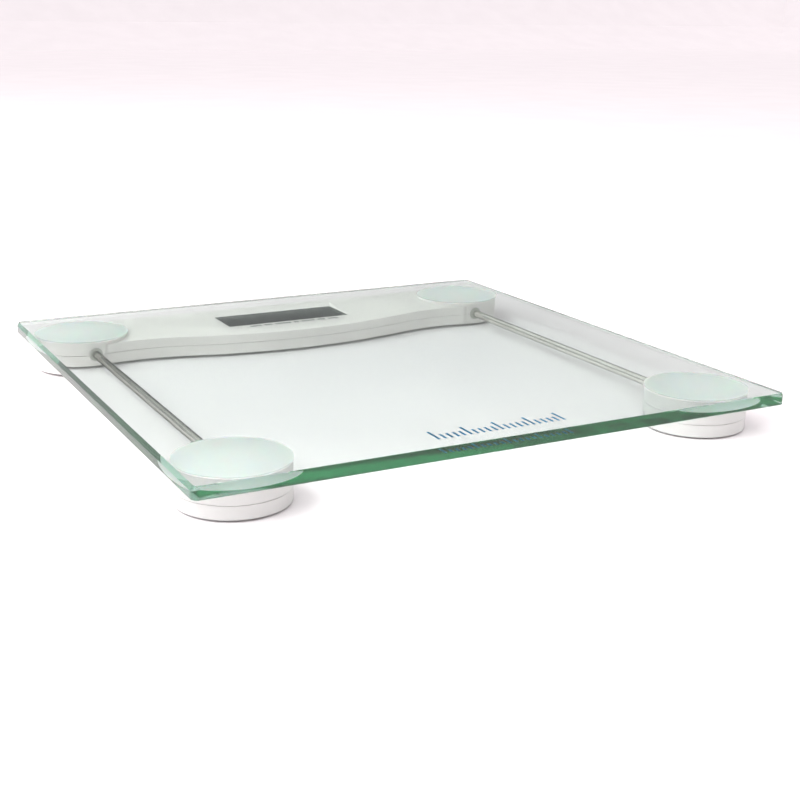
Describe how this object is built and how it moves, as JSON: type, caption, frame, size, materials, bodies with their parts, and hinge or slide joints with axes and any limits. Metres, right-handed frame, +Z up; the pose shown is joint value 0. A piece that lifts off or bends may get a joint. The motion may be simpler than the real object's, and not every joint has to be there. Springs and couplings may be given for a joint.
{
  "type": "glass bathroom scale",
  "caption": "Square clear-glass bathroom scale: glass platform on round load-sensing feet, a rear display bar with a sloped window, and steel wire tubes down both sides.",
  "frame": {"origin": "on the floor, under the centre of the square platform", "axes": "+Z up, +X to the right seen from the plain front edge, +Y towards the edge with the display"},
  "size_m": [0.3, 0.3, 0.0212],
  "materials": {
    "clear_glass": "polished float glass with green edges",
    "bonding_pad": "satin pale mint",
    "clear_adhesive": "clear acrylic bond",
    "housing_plastic": "satin moulded warm light grey",
    "brushed_steel": "fine drawn satin",
    "collar_plastic": "satin grey",
    "window_plastic": "clear, slightly smoked",
    "lcd": "grey-green liquid crystal panel, off",
    "elastomer": "matt pink with black core",
    "board_green": "solder resist",
    "black_plastic": "fine moulded texture",
    "steel": "nickel plated",
    "brass": "plated can",
    "grey_plastic": "satin",
    "rubber": "matt pale grey",
    "wire_insulation": "smooth insulation"
  },
  "bodies": {
    "scale": {"glass_platform": "clear_glass", "bonding_disc_front_left": "bonding_pad", "bonding_disc_front_right": "bonding_pad", "bonding_disc_rear_left": "bonding_pad", "bonding_disc_rear_right": "bonding_pad", "clear_bond_front_left": "clear_adhesive", "clear_bond_front_right": "clear_adhesive", "clear_bond_rear_left": "clear_adhesive", "clear_bond_rear_right": "clear_adhesive", "front_left_housing": "housing_plastic", "front_right_housing": "housing_plastic", "front_left_cover": "housing_plastic", "front_right_cover": "housing_plastic", "display_housing": "housing_plastic", "display_housing_cover": "housing_plastic", "load_cell_front_left": "steel", "load_cell_front_right": "steel", "load_cell_rear_left": "steel", "load_cell_rear_right": "steel", "tube_left": "brushed_steel", "tube_right": "brushed_steel", "tube_collars": "collar_plastic", "window_lens": "window_plastic", "lcd_glass": "lcd", "lcd_connector_strips": "elastomer", "circuit_board": "board_green", "board_components": "black_plastic", "board_screws": "steel", "tap_sensor": "brass", "unit_switch": "black_plastic", "coin_cell": "steel", "battery_contact_top": "steel", "battery_contact_side": "steel", "front_housing_screws": "steel", "display_housing_screws": "steel", "wires_front_left": "wire_insulation", "wires_front_right": "wire_insulation", "wires_rear_left": "wire_insulation", "wires_rear_right": "wire_insulation"},
    "foot_front_left": {"load_foot_front_left": "steel", "rubber_pad_front_left": "rubber"},
    "foot_front_right": {"load_foot_front_right": "steel", "rubber_pad_front_right": "rubber"},
    "foot_rear_left": {"load_foot_rear_left": "steel", "rubber_pad_rear_left": "rubber"},
    "foot_rear_right": {"load_foot_rear_right": "steel", "rubber_pad_rear_right": "rubber"},
    "unit_button": {"unit_button": "grey_plastic"},
    "battery_cap": {"battery_cap": "housing_plastic"}
  },
  "joints": [
    {"name": "foot_front_left_press", "type": "slide", "parent": "scale", "child": "foot_front_left", "axis": [0, 0, 1], "range_m": [0, 0.0005], "stiffness_N_per_m": 10000, "springref_m": -0.0005},
    {"name": "foot_front_right_press", "type": "slide", "parent": "scale", "child": "foot_front_right", "axis": [0, 0, 1], "range_m": [0, 0.0005], "stiffness_N_per_m": 10000, "springref_m": -0.0005},
    {"name": "foot_rear_left_press", "type": "slide", "parent": "scale", "child": "foot_rear_left", "axis": [0, 0, 1], "range_m": [0, 0.0005], "stiffness_N_per_m": 10000, "springref_m": -0.0005},
    {"name": "foot_rear_right_press", "type": "slide", "parent": "scale", "child": "foot_rear_right", "axis": [0, 0, 1], "range_m": [0, 0.0005], "stiffness_N_per_m": 10000, "springref_m": -0.0005},
    {"name": "unit_button_press", "type": "slide", "parent": "scale", "child": "unit_button", "axis": [0, 0, 1], "range_m": [0, 0.0005], "stiffness_N_per_m": 1500, "springref_m": -0.0002},
    {"name": "battery_cap_turn", "type": "hinge", "parent": "scale", "child": "battery_cap", "pos_m": [-0.076, 0.114, 0.0027], "axis": [0, 0, 1], "range_deg": [0, 60]}
  ]
}
